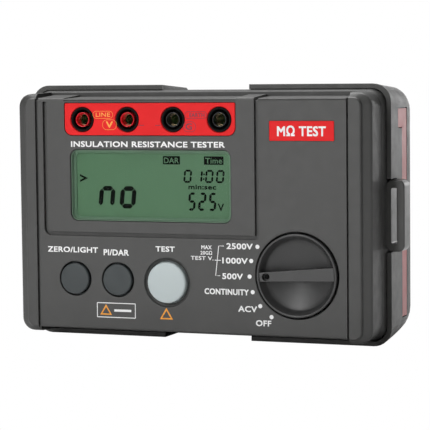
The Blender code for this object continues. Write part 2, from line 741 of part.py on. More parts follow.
def storage_cover():
    """The front cover, stowed on the back: flat underneath, with drawn-in back edges."""
    wide = COVER_HALF_WIDTH
    outer = loft([cover_section(*row) for row in COVER_OUTSIDE])
    cover = add("storage_cover", outer, (0, 0, 0), case_plastic("storage_cover"))
    cut(cover, cutter("cover_cavity", loft([cover_section(*row) for row in COVER_INSIDE])))
    ahead = RIM - 2.0
    for name, low, high in (("top", HEIGHT - FINGER_REACH, HEIGHT + 1.0), ("bottom", -1.0, FINGER_REACH)):
        finger = block((-FINGER_HALF_WIDTH, ahead, low), (FINGER_HALF_WIDTH, FINGER_BACK, high))
        cut(cover, cutter("finger_" + name, finger))
    room = LUG_HALF_HEIGHT + LUG_ROOM
    for name, side in (("left", -1), ("right", 1)):
        near, far = sorted((side * (wide - 9.0), side * (wide + 2.0)))
        notch = block((near, ahead, MID_Z - room), (far, LUG_BACK + LUG_ROOM, MID_Z + room))
        cut(cover, cutter("lug_notch_" + name, notch))
        groove = stripe(side, 0.0, (wide - STRIPE_GROOVE, wide + 1.0))
        cut(cover, cutter("stripe_groove_" + name, groove))
        inlay = stripe(side, GAP, (wide - STRIPE_SEAT, wide - STRIPE_SHY))
        add("cover_stripe_" + name, inlay, (0, 0, 0), red_plastic("cover_stripe"))


def strap_lugs():
    for name, side in (("left", -1), ("right", 1)):
        near, far = sorted((side * LUG_ROOT, side * LUG_REACH))
        outline = rounded_rect(near, far, MID_Z - LUG_HALF_HEIGHT, MID_Z + LUG_HALF_HEIGHT, LUG_RADIUS)
        lug = add("strap_lug_" + name, prism(outline, LUG_FRONT, LUG_BACK), (0, 0, 0), case_plastic("strap_lug"))
        near, far = sorted((side * SLOT_INNER, side * SLOT_OUTER))
        slot = block(
            (near, LUG_FRONT - 1.0, MID_Z - SLOT_HALF_HEIGHT),
            (far, LUG_BACK + 1.0, MID_Z + SLOT_HALF_HEIGHT),
        )
        cut(lug, cutter("lug_slot_" + name, slot))


def main():
    clear_scene()
    front_case()
    name_badge()
    rear_case()
    terminal_plate()
    sockets()
    display()
    buttons()
    range_knob()
    electronics()
    battery_cells()
    battery_tray()
    battery_door()
    storage_cover()
    strap_lugs()


main()
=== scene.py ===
import math

import bmesh
import bpy
from mathutils import Matrix, Vector


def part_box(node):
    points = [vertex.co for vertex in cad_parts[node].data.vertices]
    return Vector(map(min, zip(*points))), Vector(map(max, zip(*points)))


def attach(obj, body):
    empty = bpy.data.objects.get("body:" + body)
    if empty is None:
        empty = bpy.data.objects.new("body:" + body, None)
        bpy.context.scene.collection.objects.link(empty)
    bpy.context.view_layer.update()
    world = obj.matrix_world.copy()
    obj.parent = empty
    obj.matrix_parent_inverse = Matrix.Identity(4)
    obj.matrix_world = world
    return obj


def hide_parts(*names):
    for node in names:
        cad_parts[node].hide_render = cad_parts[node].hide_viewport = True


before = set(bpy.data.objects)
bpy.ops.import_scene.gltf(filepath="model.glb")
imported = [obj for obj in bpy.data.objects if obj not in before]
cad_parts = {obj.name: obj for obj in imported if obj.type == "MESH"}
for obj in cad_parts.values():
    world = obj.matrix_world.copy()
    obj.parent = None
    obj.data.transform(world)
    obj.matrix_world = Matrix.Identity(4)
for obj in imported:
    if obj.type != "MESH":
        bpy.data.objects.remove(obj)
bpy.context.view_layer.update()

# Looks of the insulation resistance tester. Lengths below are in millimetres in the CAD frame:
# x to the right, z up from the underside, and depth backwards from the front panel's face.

MM = 0.001
FACE_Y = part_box("front_case")[0].y / MM


class Box:
    """A CAD node's box in millimetres, with its depth measured from the panel's face."""

    def __init__(self, node_name):
        low, high = (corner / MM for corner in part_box(node_name))
        self.left, self.front, self.low = low.x, low.y - FACE_Y, low.z
        self.right, self.back, self.high = high.x, high.y - FACE_Y, high.z
        self.x = (self.left + self.right) / 2
        self.z = (self.low + self.high) / 2


CASE = Box("front_case")
REAR = Box("rear_case")
PLATE = Box("terminal_plate")
LENS = Box("lcd_lens")
GLASS = Box("lcd_glass")
BADGE = Box("name_badge")
KNOB = Box("range_knob")
COVER = Box("storage_cover")
DOOR = Box("battery_door")
SOCKETS = {name: Box("socket_" + name) for name in ("line", "volt", "guard", "earth")}
KEYS = {name: Box(name + "_button") for name in ("zero", "pi", "test")}
SIDES = (("left", -1), ("right", 1))
MID_Z = CASE.z
SEAM = CASE.back

# Panel layout
PANEL_WALL = 2.5
PAD_LEVEL = CASE.high - 2.1
STRIP_LEVEL = CASE.high - 2.4
PILLAR_X = 63.8
ZONE_LEFT = -60.25
ZONE_RIGHT = 28.0
ZONE_LOW = 42.2
GROOVE = 1.45

# Buttons. The shifts are from the CAD nodes' centres, in x and z.
KEY_RADIUS = 6.1
TEST_RADIUS = 7.95
KEY_SHIFTS = {"zero": (0.0, 0.35), "pi": (0.0, 0.35), "test": (-0.7, -0.15)}
KEY_PLACES = {name: (KEYS[name].x + x, KEYS[name].z + z) for name, (x, z) in KEY_SHIFTS.items()}

# Knob and dial, with angles in degrees
KNOB_RADIUS = 15.9
CUP_RADIUS = KNOB_RADIUS + 0.6
GRIP_FRONT = KNOB.front + 0.12
POINTER_ANGLE = 182.4
GRIP_ANGLE = POINTER_ANGLE + 1.0
CLICK_ANGLE = 18.3
REST_CLICK = 2
DIAL_RADIUS = 18.9

# Stowed cover and strap lugs
COVER_WALL = 1.9
FINGER_HALF_WIDTH = 18.2
FINGER_BACK = 46.8
LUG_ROOT = 73.0
LUG_TIP = 80.1

# Print and display elements
PRINT_FRONT = -0.03
PRINT_THICK = 0.05
LIT_FRONT = GLASS.front - 0.07
LIT_THICK = 0.06
LIT_SLANT = 0.1
LETTER_SPACING = 1.05

# Mesh fineness
CORNER_STEPS = 8
ROUND_STEPS = 64
SHARP_ANGLE = 32

# Bump heights in metres
SILKY = 0.000004
FINE = 0.00001
MOULDED = 0.00002
COARSE = 0.00004


# Mesh tools

def arc(start, turn, steps):
    """(cos, sin) of the angles from start to start + turn, in degrees."""
    angles = (math.radians(start + turn * step / steps) for step in range(steps + 1))
    return [(math.cos(angle), math.sin(angle)) for angle in angles]


def rounded_rect(left, right, low, high, radius, steps=CORNER_STEPS, low_radius=None):
    """Points (x, z) round a rectangle, from its top right corner. The lower corners may differ."""
    lower = radius if low_radius is None else low_radius
    corners = ((right, high, -1, -1, radius, 0), (left, high, 1, -1, radius, 90),
               (left, low, 1, 1, lower, 180), (right, low, -1, 1, lower, 270))
    points = []
    for x, z, side, rise, size, start in corners:
        for cos, sin in arc(start, 90, steps):
            points.append((x + side * size + size * cos, z + rise * size + size * sin))
    return points


def circle(radius, steps, x, z):
    return [(x + radius * cos, z + radius * sin) for cos, sin in arc(0, 360, steps)[:-1]]


def skin(rings, looped=False):
    """A surface through rings of points (x, depth, z), looped round or capped at both ends."""
    shape = bmesh.new()
    loops = [[shape.verts.new(point) for point in ring] for ring in rings]
    for near, far in zip(loops, loops[1:] + loops[:1] if looped else loops[1:]):
        for index, vert in enumerate(near):
            after = (index + 1) % len(near)
            shape.faces.new((vert, near[after], far[after], far[index]))
    if not looped:
        shape.faces.new(loops[0])
        shape.faces.new(loops[-1])
    return shape


def loft(sections):
    """A solid through (depth, [(x, z), ...]) sections."""
    return skin([[(x, depth, z) for x, z in outline] for depth, outline in sections])


def prism(outline, front, back):
    """A solid from a closed (x, z) outline, extruded in depth."""
    return loft([(front, outline), (back, outline)])


def slab(profile, left, right):
    """A solid from a closed (depth, z) profile, extruded along x."""
    return skin([[(x, depth, z) for depth, z in profile] for x in (left, right)])


def turned(profile, x, z, steps=ROUND_STEPS):
    """A solid from a (radius, depth) profile turned about the depth axis through (x, z)."""
    return loft([(depth, circle(radius, steps, x, z)) for radius, depth in profile])


def turned_ring(profile, x, z, steps=ROUND_STEPS):
    """A ring from a closed (radius, depth) profile turned about the same axis."""
    rings = [[(px, depth, pz) for px, pz in circle(radius, steps, x, z)]
             for radius, depth in profile]
    return skin(rings, looped=True)


def lip(radius, flare, steps=4):
    """(radius, depth) of a rounded lip, from the face at depth 0 down into a hole."""
    return [(radius + flare - flare * sin, flare - flare * cos)
            for cos, sin in arc(0, 90, steps)]


def rolled_front(outline_at, front, edge, steps=3):
    """Sections of a plate's rounded front edge. outline_at(offset) gives its outline."""
    return [(front + edge - edge * sin, outline_at(edge * cos - edge))
            for cos, sin in arc(90, -90, steps)]


def flared_hole(outline_at, flare, depth):
    """A cutter for a hole or recess with a rounded lip. outline_at(offset) gives its outline."""
    sections = [(-1.0, outline_at(flare))]
    sections += [(deep, outline_at(offset)) for offset, deep in lip(0, flare)]
    sections.append((depth, outline_at(0)))
    return loft(sections)


def with_direction(path):
    """x, z and the unit direction at each point of a path of (x, z) points."""
    for index, (x, z) in enumerate(path):
        before = Vector(path[max(index - 1, 0)])
        after = Vector(path[min(index + 1, len(path) - 1)])
        yield x, z, (after - before).normalized()


def merge(shapes):
    """One bmesh from several."""
    whole = bmesh.new()
    for shape in shapes:
        part = bpy.data.meshes.new("part")
        shape.to_mesh(part)
        shape.free()
        whole.from_mesh(part)
        bpy.data.meshes.remove(part)
    return whole


# Objects

def link(name, data):
    made = bpy.data.objects.new(name, data)
    bpy.context.scene.collection.objects.link(made)
    return made


def smooth(made):
    made.data.shade_smooth()
    made.data.set_sharp_from_angle(angle=math.radians(SHARP_ANGLE))


def add(name, shape, finish=None):
    """Make an object in the row frame from a bmesh in millimetres."""
    bmesh.ops.remove_doubles(shape, verts=shape.verts, dist=1e-5)
    bmesh.ops.recalc_face_normals(shape, faces=shape.faces)
    if shape.calc_volume(signed=True) < 0:
        bmesh.ops.reverse_faces(shape, faces=shape.faces)
    for vert in shape.verts:
        x, depth, z = vert.co
        vert.co = (x * MM, (depth + FACE_Y) * MM, z * MM)
    mesh = bpy.data.meshes.new(name)
    shape.to_mesh(mesh)
    shape.free()
    made = link(name, mesh)
    if finish:
        mesh.materials.append(finish)
    smooth(made)
    return made


def reshape(target, operation, shapes):
    """Cut shapes out of the target, or fuse them with it, and remove the tools."""
    tools = [add(f"tool_{index}", shape) for index, shape in enumerate(shapes)]
    for tool in tools:
        step = target.modifiers.new(tool.name, "BOOLEAN")
        step.operation = operation
        step.solver = "EXACT"
        step.use_self = True
        step.object = tool
    bpy.context.view_layer.update()
    depsgraph = bpy.context.evaluated_depsgraph_get()
    result = bpy.data.meshes.new_from_object(target.evaluated_get(depsgraph))
    target.modifiers.clear()
    target.data = result
    for tool in tools:
        bpy.data.objects.remove(tool, do_unlink=True)
    smooth(target)


def cut(target, *shapes):
    reshape(target, "DIFFERENCE", shapes)


def fuse(target, *shapes):
    reshape(target, "UNION", shapes)


def place(made, body, slot, *nodes):
    """Let a finished piece ride on a body and stand for CAD nodes, which it hides. The slot
    argument is not used.
    """
    step = made.modifiers.new("weighted_normals", "WEIGHTED_NORMAL")
    step.keep_sharp = True
    step.weight = 100
    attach(made, body)
    if nodes:
        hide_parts(*nodes)


# Materials

def node(tree, kind, **settings):
    made = tree.nodes.new(kind)
    for key, value in settings.items():
        setattr(made, key, value)
    return made


def new_material(name):
    """A material, its node tree and a node with its object coordinates."""
    made = bpy.data.materials.new(name)
    made.use_nodes = True
    return made, made.node_tree, node(made.node_tree, "ShaderNodeTexCoord")


def grain(tree, where, scale, detail=2.0):
    noise = node(tree, "ShaderNodeTexNoise")
    noise.inputs["Scale"].default_value = scale
    noise.inputs["Detail"].default_value = detail
    tree.links.new(where.outputs["Object"], noise.inputs["Vector"])
    return noise.outputs["Fac"]


def ranged(tree, source, low, high):
    """Map a noise value from about 0.3-0.7 to low-high."""
    made = node(tree, "ShaderNodeMapRange")
    made.inputs["From Min"].default_value = 0.3
    made.inputs["From Max"].default_value = 0.7
    made.inputs["To Min"].default_value = low
    made.inputs["To Max"].default_value = high
    tree.links.new(source, made.inputs["Value"])
    return made.outputs["Result"]


def shaded(tree, source, colour, spread):
    """The colour, varied by a noise value from darker to lighter by a share."""
    made = node(tree, "ShaderNodeMix", data_type="RGBA")
    made.inputs[6].default_value = (*(part * (1 - spread) for part in colour), 1.0)
    made.inputs[7].default_value = (*(part * (1 + spread) for part in colour), 1.0)
    tree.links.new(ranged(tree, source, 0, 1), made.inputs[0])
    return made.outputs[2]


def bumped(tree, height, distance):
    made = node(tree, "ShaderNodeBump")
    made.inputs["Strength"].default_value = 1.0
    made.inputs["Distance"].default_value = distance
    tree.links.new(height, made.inputs["Height"])
    return made.outputs["Normal"]


def plastic(name, colour, roughness, texture=2200, relief=MOULDED, spread=0.05, sheen=0.5,
            coat=0.0):
    """Moulded plastic: a fine spark-eroded texture, faint flow marks and uneven gloss."""
    made, tree, where = new_material(name)
    shader = tree.nodes["Principled BSDF"]
    flow = shaded(tree, grain(tree, where, 45, 4), colour, spread)
    tree.links.new(flow, shader.inputs["Base Color"])
    gloss = ranged(tree, grain(tree, where, 260, 3), roughness - 0.05, roughness + 0.05)
    tree.links.new(gloss, shader.inputs["Roughness"])
    if relief:
        normal = bumped(tree, grain(tree, where, texture), relief)
        tree.links.new(normal, shader.inputs["Normal"])
    shader.inputs["Specular IOR Level"].default_value = sheen
    shader.inputs["Coat Weight"].default_value = coat
    shader.inputs["Coat Roughness"].default_value = 0.15
    return made


def ink(name, colour):
    return plastic(name, colour, 0.6, relief=SILKY, spread=0.02)


def metal(name, colour, roughness):
    """Plated metal with fine turning marks."""
    made, tree, where = new_material(name)
    shader = tree.nodes["Principled BSDF"]
    marks = grain(tree, where, 900, 3)
    tree.links.new(shaded(tree, marks, colour, 0.12), shader.inputs["Base Color"])
    gloss = ranged(tree, marks, roughness - 0.08, roughness + 0.08)
    tree.links.new(gloss, shader.inputs["Roughness"])
    tree.links.new(bumped(tree, marks, FINE), shader.inputs["Normal"])
    shader.inputs["Metallic"].default_value = 1.0
    return made


def clear_lens(name):
    """A clear window: see-through, with a gloss that grows at grazing angles."""
    made, tree, where = new_material(name)
    tree.nodes.remove(tree.nodes["Principled BSDF"])
    through = node(tree, "ShaderNodeBsdfTransparent")
    through.inputs["Color"].default_value = (0.96, 1.0, 0.97, 1.0)
    gloss = node(tree, "ShaderNodeBsdfGlossy")
    haze = ranged(tree, grain(tree, where, 300, 2), 0.12, 0.2)
    tree.links.new(haze, gloss.inputs["Roughness"])
    edge = node(tree, "ShaderNodeFresnel")
    edge.inputs["IOR"].default_value = 1.08
    blend = node(tree, "ShaderNodeMixShader")
    tree.links.new(edge.outputs["Fac"], blend.inputs[0])
    tree.links.new(through.outputs[0], blend.inputs[1])
    tree.links.new(gloss.outputs[0], blend.inputs[2])
    tree.links.new(blend.outputs[0], tree.nodes["Material Output"].inputs["Surface"])
    return made


CASE_GREY = plastic("case_grey_plastic", (0.047, 0.047, 0.0455), 0.50)
COVER_GREY = plastic("cover_grey_plastic", (0.050, 0.050, 0.0475), 0.46)
LUG_GREY = plastic("strap_lug_plastic", (0.050, 0.050, 0.0475), 0.33)
KNOB_GREY = plastic("knob_grey_plastic", (0.036, 0.036, 0.036), 0.42, texture=3000)
RED = plastic("red_moulded_plastic", (0.70, 0.018, 0.020), 0.45, texture=1800, relief=FINE,
              sheen=0.1)
RED_TRIM = plastic("red_inlay_plastic", (0.42, 0.11, 0.11), 0.42, texture=1800, relief=FINE)
RED_TUBE = plastic("red_socket_tube", (0.70, 0.014, 0.024), 0.25, relief=0)
# The black tubes are greyer than the black shrouds so that their tips show a thin light ring: that
# grey is a painted highlight, while their higher gloss is real.
DARK_TUBE = plastic("black_socket_tube", (0.022, 0.022, 0.022), 0.22, relief=0, sheen=0.7)
BLACK = plastic("black_moulded_plastic", (0.006, 0.006, 0.006), 0.42, relief=FINE, sheen=0.05)
KEY_GREY = plastic("dark_rubber_key", (0.031, 0.038, 0.040), 0.55, texture=3500, relief=FINE)
KEY_WHITE = plastic("milky_test_key", (0.46, 0.515, 0.52), 0.34, texture=900, relief=SILKY,
                    spread=0.02, sheen=0.2)
INK_WHITE = ink("white_print", (0.80, 0.80, 0.80))
INK_AMBER = ink("amber_print", (0.80, 0.32, 0.03))
INK_YELLOW = ink("yellow_print", (0.88, 0.33, 0.05))
INK_DARK = ink("dark_print", (0.14, 0.022, 0.045))
LCD_GREEN = plastic("display_film_green", (0.098, 0.170, 0.108), 0.32, texture=5000,
                    relief=SILKY, spread=0.03, sheen=0.05)
LCD_RIM = plastic("display_rim_green", (0.140, 0.215, 0.155), 0.40, relief=SILKY, spread=0.03,
                  sheen=0.2)
LCD_BLACK = plastic("display_segment_black", (0.002, 0.003, 0.0025), 0.5, relief=0,
                    spread=0.02, sheen=0.02)
LENS_CLEAR = clear_lens("clear_window")
BRASS = metal("plated_brass", (0.55, 0.42, 0.24), 0.22)
STEEL = metal("plated_steel", (0.60, 0.60, 0.62), 0.32)


# Case

def case_ring(depth, half_width, half_height, radius):
    return depth, rounded_rect(-half_width, half_width, MID_Z - half_height,
                               MID_Z + half_height, radius)


def case_loft(rows):
    """A solid from (depth, half width, half height, corner radius) rows."""
    return loft([case_ring(*row) for row in rows])


def front_profile():
    """Rows of the pillar edge, the step, the shoulder and the flared wall."""
    wide, tall = CASE.right, CASE.high - MID_Z
    rows = [(0.8 - 0.8 * cos, wide - 4.2 + 0.8 * sin, tall - 2.8 + 0.7 * sin, 2.4 + 0.9 * sin)
            for cos, sin in arc(0, 80, 5)]
    rows += [
        (1.15, wide - 3.3, tall - 2.05, 3.4),
        (1.25, wide - 3.15, tall - 1.95, 3.5),
        (1.7, wide - 2.1, tall - 1.45, 4.0),
        (2.1, wide - 1.0, tall - 1.0, 4.5),
        (2.4, wide - 0.45, tall - 0.75, 4.8),
        (2.8, wide - 0.1, tall - 0.5, 5.0),
        (3.3, wide, tall - 0.4, 5.2),
    ]
    for share in (0.33, 0.67, 1.0):
        rows.append((3.3 + (SEAM - 3.6) * share, wide, tall - 0.4 * (1 - share),
                     5.2 + 1.8 * share))
    rows.append((SEAM, wide - 0.25, tall - 0.25, 6.9))
    return rows


def level_cut(left, right, start, front_level, back_level, groove):
    """Lower the case's top edge between two x: a rounded front edge, then a long slope back."""
    profile = [(-1.0, start)]
    if groove:
        profile += [(0.6, start), (0.6, start + groove)]
        start += groove
    radius = front_level - start
    profile += [(radius - radius * cos, start + radius * sin) for cos, sin in arc(0, 90, 5)]
    profile += [(SEAM - 0.4, back_level), (SEAM - 0.1, back_level - 0.2),
                (SEAM + 1.0, back_level - 0.3), (SEAM + 1.0, CASE.high + 2.0),
                (-1.0, CASE.high + 2.0)]
    return slab(profile, left, right)


def mirrored_low(shape):
    """The same cutter at the case's lower edge."""
    for vert in shape.verts:
        vert.co.z = 2 * MID_Z - vert.co.z
    return shape


def swept_groove(path, width, depth, flare):
    """A groove cutter with rounded lips along a path of (x, z) points on the panel."""
    half = width / 2
    side = lip(half, flare, 3)
    section = [(-half - flare, -1.0)] + [(-across, deep) for across, deep in side]
    section += [(-half, depth), (half, depth)]
    section += [(across, deep) for across, deep in reversed(side)] + [(half + flare, -1.0)]
    return skin([[(x - along.y * across, deep, z + along.x * across) for across, deep in section]
                 for x, z, along in with_direction(path)])


def top_groove(x, low, front_level, back_level, width, depth):
    """A groove cutter at one x that runs up the panel and back over the top slope."""
    half, flare, shallow = width / 2, 0.18, 0.7
    layers = [(across, min(deep, depth) if deep else -0.02)
              for across, deep in lip(half, flare, 3)]
    layers.append((half, depth))
    order = [(-across, deep) for across, deep in layers]
    order += [(across, deep) for across, deep in reversed(layers)]
    rings = []
    for across, deep in order:
        over = min(deep, shallow)
        outline = [(deep, low), (deep, front_level - 0.9 - deep * 0.4),
                   (0.9 + deep * 0.4, front_level - over), (SEAM + 0.2, back_level - over),
                   (SEAM + 0.2, CASE.high + 2), (-1.0, CASE.high + 2), (-1.0, low)]
        rings.append([(x + across, back, z) for back, z in outline])
    return skin(rings)


def zone_path():
    """The line under and beside the display zone, with rounded lower corners."""
    points = [(ZONE_LEFT, PAD_LEVEL - 1.3)]
    radius = 2.2
    for cos, sin in arc(180, 90, 8):
        points.append((ZONE_LEFT + radius + radius * cos, ZONE_LOW + radius + radius * sin))
    radius = 1.0
    for cos, sin in arc(270, 90, 6):
        points.append((ZONE_RIGHT - radius + radius * cos, ZONE_LOW + radius + radius * sin))
    points.append((ZONE_RIGHT, ZONE_LOW + 3.0))
    return points


def box_outline(box, offset, radius, low_radius=None):
    """A CAD box's front outline with rounded corners, grown by an offset."""
    return rounded_rect(box.left - offset, box.right + offset, box.low - offset,
                        box.high + offset, radius, low_radius=low_radius)


def plate_outline(offset):
    return box_outline(PLATE, offset, max(0.5, 0.5 + offset), 3.0 + offset)


def window_outline(offset):
    return box_outline(LENS, offset, 2.7 + offset)


def badge_outline(offset):
    return box_outline(BADGE, offset, max(0.2, 0.3 + offset))


def edge_cuts():
    """Cutters that lower the case's top and bottom edges between and beside the pillars."""
    strip = (STRIP_LEVEL - 0.75, STRIP_LEVEL, STRIP_LEVEL + 0.6, 0.3)
    lower = (PAD_LEVEL - 1.0, PAD_LEVEL - 0.2, PAD_LEVEL + 0.8, 0)
    return [level_cut(-PILLAR_X, PILLAR_X, PAD_LEVEL - 0.9, PAD_LEVEL, PAD_LEVEL + 1.0, 0),
            level_cut(PLATE.left - 0.3, PLATE.right + 0.3, *strip),
            level_cut(ZONE_RIGHT + 0.05, PILLAR_X + 0.05, *strip),
            mirrored_low(level_cut(-PILLAR_X, PILLAR_X, *lower))]


def panel_grooves():
    """Cutters for the grooves beside the pillars and round the display zone."""
    grooves = [swept_groove(zone_path(), GROOVE, 1.3, 0.25)]
    for x, low, level, width in ((-PILLAR_X, CASE.low - 1, PAD_LEVEL, 1.1),
                                 (PILLAR_X, CASE.low - 1, STRIP_LEVEL, 0.6),
                                 (ZONE_RIGHT, ZONE_LOW + 2.4, STRIP_LEVEL, GROOVE)):
        grooves.append(top_groove(x, low, level, level + 0.8, width, 1.2))
    return grooves


def panel_holes():
    """Cutters for the plate, window, badge, buttons, knob and sockets."""
    through = PANEL_WALL + 1
    holes = [flared_hole(lambda offset: plate_outline(offset + 0.2), 0.15, 1.5),
             flared_hole(lambda offset: window_outline(offset + 0.3), 0.35, through),
             flared_hole(lambda offset: badge_outline(offset + 0.12), 0.1, 0.6)]
    for name in ("zero", "pi"):
        profile = [(KEY_RADIUS + 1.0, -1.0)] + lip(KEY_RADIUS + 0.65, 0.35)
        holes.append(turned(profile + [(KEY_RADIUS + 0.6, through)], *KEY_PLACES[name]))
    ring = [(9.9, -1.0)] + lip(9.45, 0.45) + [(9.2, 1.0), (8.5, 1.35)]
    ring += [(TEST_RADIUS + 0.45, 1.4), (TEST_RADIUS + 0.45, through)]
    holes.append(turned(ring, *KEY_PLACES["test"]))
    well = [(CUP_RADIUS + 0.5, -1.0)] + lip(CUP_RADIUS, 0.5) + [(CUP_RADIUS, KNOB.back - 3.5)]
    well += [(3.9, KNOB.back - 3.5), (3.9, KNOB.back)]
    holes.append(turned(well, KNOB.x, KNOB.z))
    for socket in SOCKETS.values():
        holes.append(turned([(4.6, 0.5), (4.6, through)], socket.x, socket.z))
    return holes


def front_shell():
    wide, tall = CASE.right, CASE.high - MID_Z
    shell = add("front_shell", case_loft(front_profile()), CASE_GREY)
    cut(shell, case_loft([(PANEL_WALL, wide - 5.3, tall - 4.8, 4.0),
                          (SEAM + 1, wide - 2.3, tall - 2.3, 5.0)]))
    cup = [(CUP_RADIUS + 1.8, PANEL_WALL - 1), (CUP_RADIUS + 1.8, KNOB.back - 2.5)]
    fuse(shell, turned(cup, KNOB.x, KNOB.z))
    cut(shell, *edge_cuts())
    cut(shell, *panel_grooves())
    cut(shell, *panel_holes())
    place(shell, "case", "case_plastic", "front_case")


def rear_shell():
    wide, tall = REAR.right, REAR.high - MID_Z
    seam_wide, seam_tall = CASE.right, CASE.high - MID_Z
    outer = [
        (SEAM + 0.3, seam_wide - 0.3, seam_tall - 0.3, 6.8),
        (SEAM + 0.4, seam_wide - 0.1, seam_tall - 0.1, 6.9),
        (SEAM + 0.6, seam_wide, seam_tall, 7.1),
        (18.6, wide, tall - 0.1, 6.2),
        (19.6, wide + 0.3, tall + 0.2, 6.0),
        (31.0, wide - 0.15, tall - 0.8, 6.5),
        (43.0, wide - 0.3, tall - 1.6, 7.9),
    ]
    for cos, sin in arc(0, 90, 6):
        outer.append((46.5 + 6.0 * sin, wide - 3.7 + 3.0 * cos, tall - 5.6 + 2.4 * cos,
                      6.5 + 1.5 * cos))
    inner = [(SEAM - 1, wide - 3.0, tall - 3.0, 5.0), (43.0, wide - 3.0, tall - 4.1, 5.0),
             (46.6, wide - 3.2, tall - 5.7, 5.0), (50.0, wide - 4.7, tall - 6.6, 5.0)]
    shell = add("rear_shell", case_loft(outer), CASE_GREY)
    cut(shell, case_loft(inner), prism(box_outline(DOOR, 0.3, 3.0), 48.0, 54.0))
    screws = [Box(f"case_screw_{index}") for index in range(1, 5)]
    post = [(3.8, SEAM + 1), (3.8, 51.0)]
    fuse(shell, *(turned(post, screw.x, screw.z, 24) for screw in screws))
    bores = []
    for screw in screws:
        seat = screw.back - 1.6
        bore = [(1.7, SEAM), (1.7, seat), (2.8, seat), (2.8, 51.9), (3.2, 54.0)]
        bores.append(turned(bore, screw.x, screw.z, 24))
    cut(shell, *bores)
    place(shell, "case", "case_plastic", "rear_case")


# Terminals

def terminal_plate():
    sections = rolled_front(plate_outline, 0, 0.3) + [(PLATE.back, plate_outline(0))]
    plate = add("terminal_plate_moulding", loft(sections), RED)
    bore = [(5.3, -1.0)] + lip(5.0, 0.3) + [(4.95, 0.7), (4.62, 0.9), (4.62, 3.0)]
    cut(plate, *(turned(bore, socket.x, socket.z) for socket in SOCKETS.values()))
    place(plate, "case", "red_plate", "terminal_plate")


def sockets():
    """A black shroud, a coloured tube inside it and a plated sleeve inside that."""
    for name, box in SOCKETS.items():
        outer, front, back = (box.right - box.left) / 2, box.front, box.back
        shroud = turned_ring([
            (outer + 0.5, front + 0.3), (outer + 0.5, 0.6), (outer, 0.6), (outer, back),
            (2.9, back), (2.9, back - 1.2), (outer - 0.45, back - 1.2),
            (outer - 0.4, front + 0.3), (outer - 0.1, front), (outer + 0.3, front),
        ], box.x, box.z)
        place(add("socket_shroud_" + name, shroud, BLACK), "case", "black_plastic",
              "socket_" + name)
        tube = turned_ring([
            (2.86, front + 0.3), (2.86, back - 0.3), (2.3, back - 0.3), (2.4, front + 1.2),
            (2.46, front + 0.3), (2.54, front + 0.12), (2.66, front + 0.05),
            (2.78, front + 0.12),
        ], box.x, box.z)
        # Guard and earth tubes take the greyer tube finish, whose grey is a painted highlight ring
        # at their tips.
        red = name in ("line", "volt")
        place(add("socket_tube_" + name, tube, RED_TUBE if red else DARK_TUBE), "case",
              "red_plate" if red else "black_plastic", "socket_" + name)
        contact = Box("contact_" + name)
        sleeve = turned_ring([
            (2.0, contact.front + 0.5), (2.0, contact.back), (2.27, contact.back),
            (2.27, contact.front + 0.3), (2.2, contact.front + 0.2), (2.1, contact.front + 0.2),
        ], box.x, box.z, 40)
        place(add("contact_sleeve_" + name, sleeve, BRASS), "case", "sleeve", "contact_" + name)


# Display

def display():
    lens = [(0.62, window_outline(-0.9)), (0.8, window_outline(-0.35)),
            (1.1, window_outline(-0.1)), (LENS.back, window_outline(-0.1))]
    place(add("display_window", loft(lens), LENS_CLEAR), "case", "lens", "lcd_lens")
    rim = ((0.05, 0.55), (0.05, 2.3), (-1.25, 2.75), (-1.25, 2.6), (-0.45, 1.9), (-0.12, 0.55))
    rings = [[(x, deep, z) for x, z in window_outline(offset)] for offset, deep in rim]
    place(add("display_rim", skin(rings, looped=True), LCD_RIM), "case", "lcd")


def lit_plate(outline):
    """A display element as a thin plate on the glass."""
    return prism(outline, LIT_FRONT, LIT_FRONT + LIT_THICK)


def slanted(points, x, z):
    """A display element from points (x, z) about a slanted cell's lower left corner."""
    return lit_plate([(x + px + pz * LIT_SLANT, z + pz) for px, pz in points])


def bar(length, thick, x, z, upright):
    """A display bar with pointed ends, from its lower left end, along x or up."""
    half = thick / 2
    points = [(0, 0), (half, -half), (length - half, -half), (length, 0), (length - half, half),
              (half, half)]
    if upright:
        return [(x - pz, z + px) for px, pz in points]
    return [(x + px, z + pz) for px, pz in points]


def digit_bars(segments, width, height, thick):
    """Outlines of a seven-segment digit's lit bars: a to g, as usual."""
    gap = thick * 0.08
    half = height / 2
    span, rise = width - thick, half - thick / 2
    left, right, foot, top = thick / 2, width - thick / 2, thick / 2, height - thick / 2
    places = {
        "a": (span, left, top, False), "g": (span, left, half, False),
        "d": (span, left, foot, False), "f": (rise, left, half, True),
        "b": (rise, right, half, True), "e": (rise, left, foot, True),
        "c": (rise, right, foot, True),
    }
    bars = []
    for key in segments:
        length, x, z, upright = places[key]
        x, z = (x, z + gap) if upright else (x + gap, z)
        bars.append(bar(length - 2 * gap, thick, x, z, upright))
    return bars


SEGMENTS = {"0": "abcdef", "1": "bc", "2": "abged", "5": "afgcd", "n": "ceg", "o": "cdeg"}


def digits(text, left, low, width, height, thick, pitch):
    """Seven-segment text in a row of slanted cells. A colon stands between two cells."""
    shapes = []
    x = left
    for letter in text:
        if letter == ":":
            size = thick * 0.38
            dot = [(-size, -size), (size, -size), (size, size), (-size, size)]
            for rise in (0.3, 0.66):
                middle = x - (pitch - width) / 2 + LIT_SLANT * height * rise
                shapes.append(slanted(dot, middle, low + height * rise))
            continue
        for points in digit_bars(SEGMENTS[letter], width, height, thick):
            shapes.append(slanted(points, x, low))
        x += pitch
    return shapes


